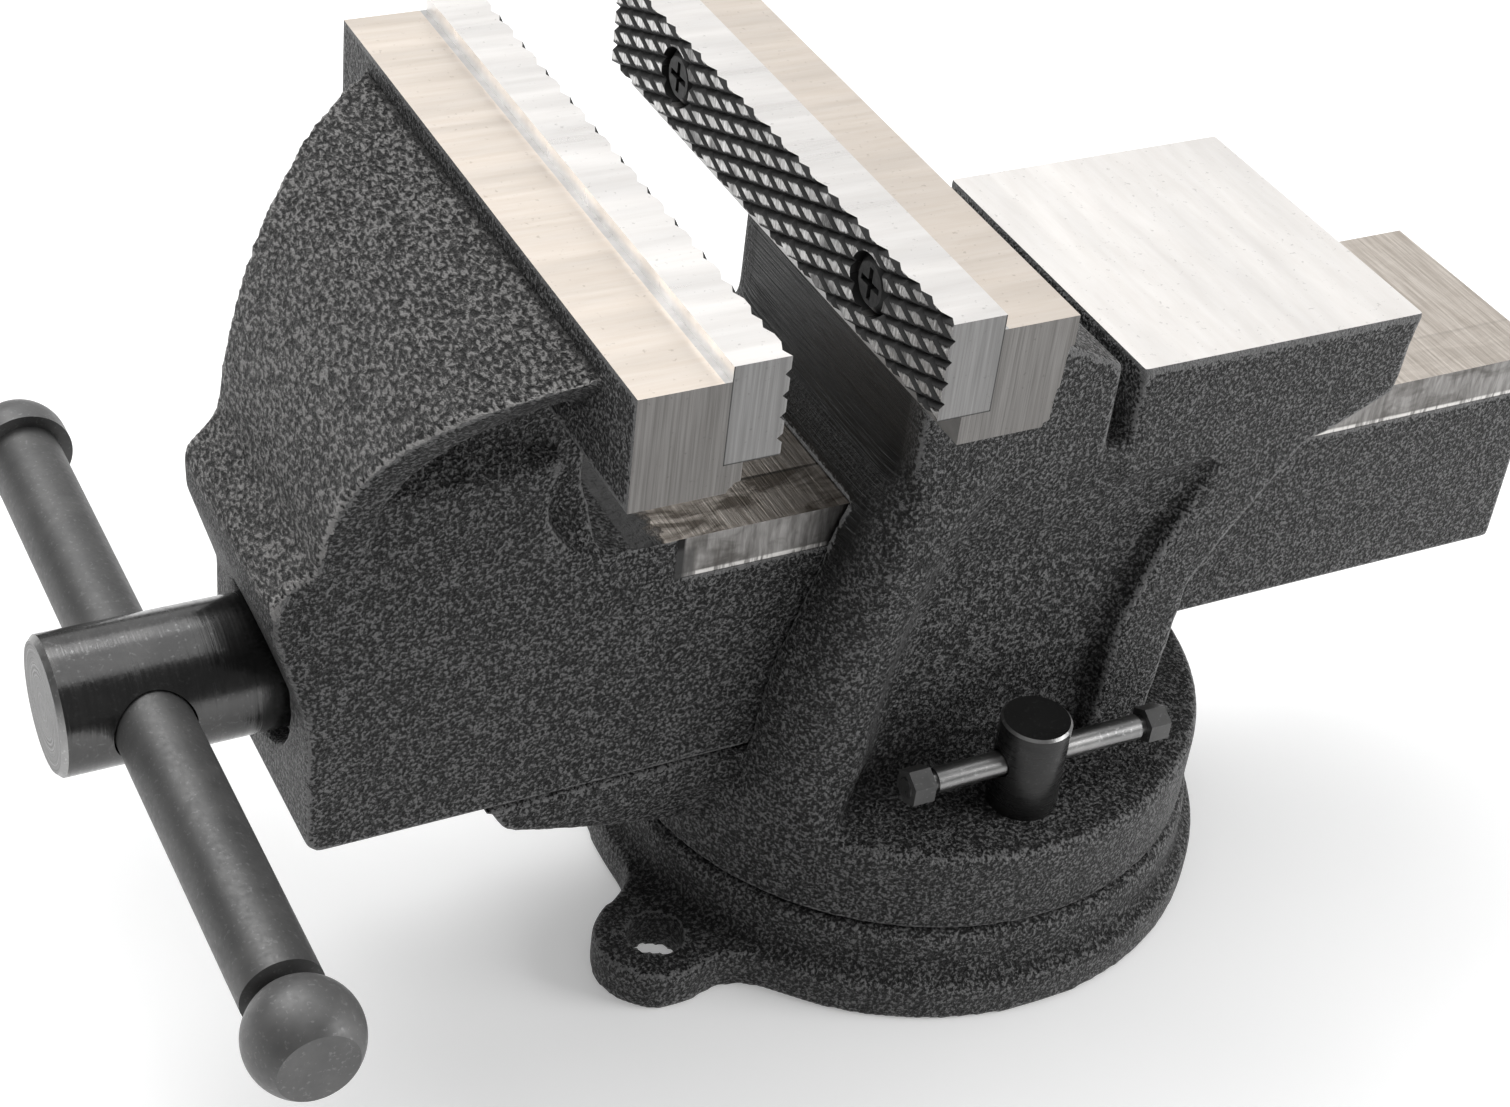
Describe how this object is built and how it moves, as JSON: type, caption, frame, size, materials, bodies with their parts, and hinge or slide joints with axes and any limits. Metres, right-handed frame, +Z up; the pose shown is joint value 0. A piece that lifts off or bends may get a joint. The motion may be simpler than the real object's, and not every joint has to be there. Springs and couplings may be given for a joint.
{
  "type": "swivel bench vise",
  "caption": "Bench vise with a hooded sliding jaw, serrated inserts, an anvil, a screw with a sliding crossbar handle, and a swivel base clamped by crossbar lock screws.",
  "frame": {"origin": "on the swivel axis, on the underside of the swivel base where it meets the bench", "axes": "+X runs along the slide from the handle towards the anvil, +Y runs along the jaws and +Z points up from the bench"},
  "size_m": [0.3053, 0.1804, 0.1686],
  "materials": {
    "casting": "charcoal wrinkle paint over rough casting, with bare machined faces",
    "jaw_steel": "ground faces with blackened serrations",
    "black_screws": "black oxide",
    "spindle_steel": "glossy black oxide with fine turned lines",
    "handle_steel": "matt dark grey phosphate",
    "plain_steel": "plain",
    "lock_bar_steel": "smooth dark grey"
  },
  "bodies": {
    "base": {"swivel_base": "casting"},
    "vise_body": {"fixed_body": "casting", "fixed_insert": "jaw_steel", "fixed_insert_screws": "black_screws", "spindle_nut": "plain_steel", "nut_bolt": "black_screws", "nut_bolt_washer": "plain_steel", "near_tee_nut": "plain_steel", "far_tee_nut": "plain_steel"},
    "sliding_jaw": {"moving_jaw": "casting", "moving_insert": "jaw_steel", "moving_insert_screws": "black_screws"},
    "screw": {"spindle": "spindle_steel", "thrust_washer": "plain_steel", "spindle_spring": "plain_steel", "spindle_collar": "plain_steel", "collar_pin": "plain_steel"},
    "handle": {"handle_bar": "handle_steel", "handle_ball": "handle_steel", "handle_knob": "handle_steel"},
    "near_lock": {"near_lock_screw": "spindle_steel"},
    "near_crossbar": {"near_lock_bar": "lock_bar_steel", "near_bar_nuts": "handle_steel"},
    "far_lock": {"far_lock_screw": "spindle_steel"},
    "far_crossbar": {"far_lock_bar": "lock_bar_steel", "far_bar_nuts": "handle_steel"}
  },
  "joints": [
    {"name": "swivel_turn", "type": "hinge", "parent": "base", "child": "vise_body", "pos_m": [0, 0, 0.02], "axis": [0, 0, 1], "continuous": true},
    {"name": "jaw_slide", "type": "slide", "parent": "vise_body", "child": "sliding_jaw", "axis": [1, 0, 0], "range_m": [-0.0985, 0.0281]},
    {"name": "spindle_turn", "type": "hinge", "parent": "sliding_jaw", "child": "screw", "pos_m": [-0.1618, 0, 0.0763], "axis": [1, 0, 0], "range_deg": [-7090, 2020]},
    {"name": "handle_slide", "type": "slide", "parent": "screw", "child": "handle", "axis": [0, 1, 0], "range_m": [-0.0594, 0.065]},
    {"name": "near_lock_turn", "type": "hinge", "parent": "vise_body", "child": "near_lock", "pos_m": [0, -0.046, 0.0391], "axis": [0, 0, 1], "range_deg": [0, 7]},
    {"name": "near_bar_slide", "type": "slide", "parent": "near_lock", "child": "near_crossbar", "axis": [1, 0, 0], "range_m": [-0.018, 0.015]},
    {"name": "far_lock_turn", "type": "hinge", "parent": "vise_body", "child": "far_lock", "pos_m": [0, 0.046, 0.0391], "axis": [0, 0, 1], "range_deg": [0, 7]},
    {"name": "far_bar_slide", "type": "slide", "parent": "far_lock", "child": "far_crossbar", "axis": [1, 0, 0], "range_m": [-0.002, 0.015]}
  ],
  "couplings": [
    {"joint": "jaw_slide", "follows": "spindle_turn", "m_per_rad": 0.00079577}
  ]
}
